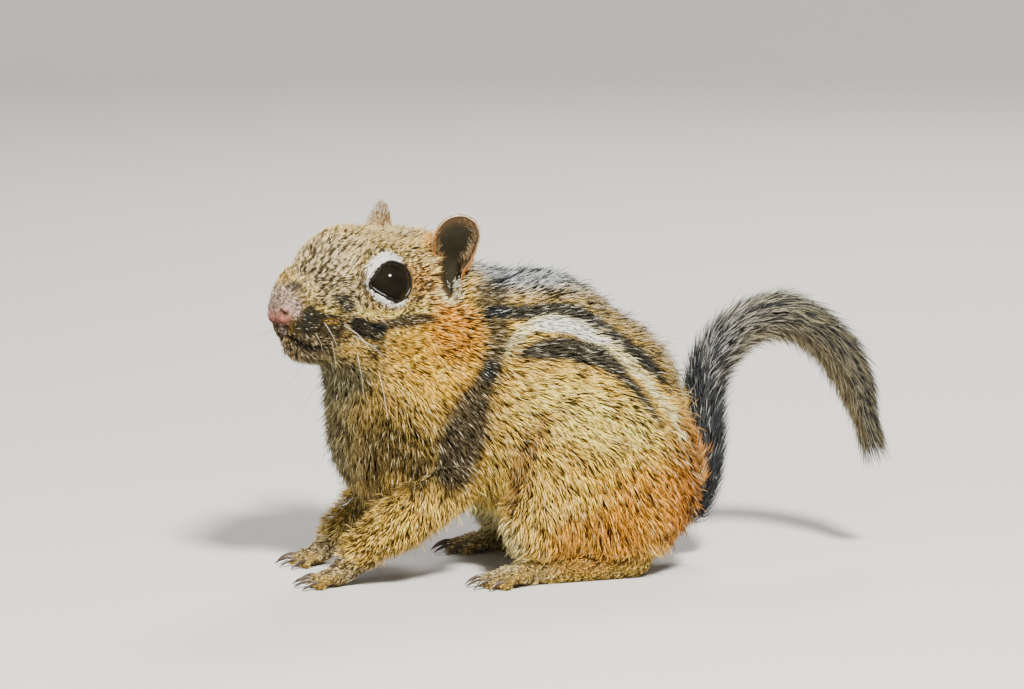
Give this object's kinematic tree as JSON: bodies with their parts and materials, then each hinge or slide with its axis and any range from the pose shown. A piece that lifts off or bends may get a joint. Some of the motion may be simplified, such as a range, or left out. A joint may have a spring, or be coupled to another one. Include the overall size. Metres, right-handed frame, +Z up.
{
  "type": "eastern chipmunk model",
  "caption": "Life-size still model of an eastern chipmunk crouched on its haunches, striped back, head turned to its left, tail arched behind it.",
  "frame": {"origin": "on the floor, under the middle of the whole model's box", "axes": "+Z up; the body faces -X and the tail is towards +X; the animal's left side is towards -Y"},
  "size_m": [0.1272, 0.0474, 0.0737],
  "materials": {
    "coat": "short fur",
    "pale_fur": "short fur",
    "tail_fur": "long bristly fur with pale tips",
    "ear_skin": "thin skin with sparse down",
    "nose_skin": "moist skin",
    "horn": "satin",
    "eye": "wet gloss"
  },
  "bodies": {
    "root": {"head": "coat", "lower_jaw": "pale_fur", "eye_left": "eye", "eye_right": "eye", "nose": "nose_skin", "ear_left": "ear_skin", "ear_right": "ear_skin", "thigh_left": "coat", "thigh_right": "coat", "upper_arm_left": "coat", "upper_arm_right": "coat", "chest": "coat", "rump": "coat", "neck": "coat", "forearm_left": "coat", "hand_left": "coat", "hand_left_claw_1": "horn", "hand_left_claw_2": "horn", "hand_left_claw_3": "horn", "hand_left_claw_4": "horn", "foot_left": "coat", "foot_left_claw_1": "horn", "foot_left_claw_2": "horn", "foot_left_claw_3": "horn", "foot_left_claw_4": "horn", "foot_left_claw_5": "horn", "forearm_right": "coat", "hand_right": "coat", "hand_right_claw_1": "horn", "hand_right_claw_2": "horn", "hand_right_claw_3": "horn", "hand_right_claw_4": "horn", "foot_right": "coat", "foot_right_claw_1": "horn", "foot_right_claw_2": "horn", "foot_right_claw_3": "horn", "foot_right_claw_4": "horn", "foot_right_claw_5": "horn", "tail_1": "tail_fur", "tail_2": "tail_fur", "tail_3": "tail_fur", "tail_4": "tail_fur"}
  },
  "joints": []
}
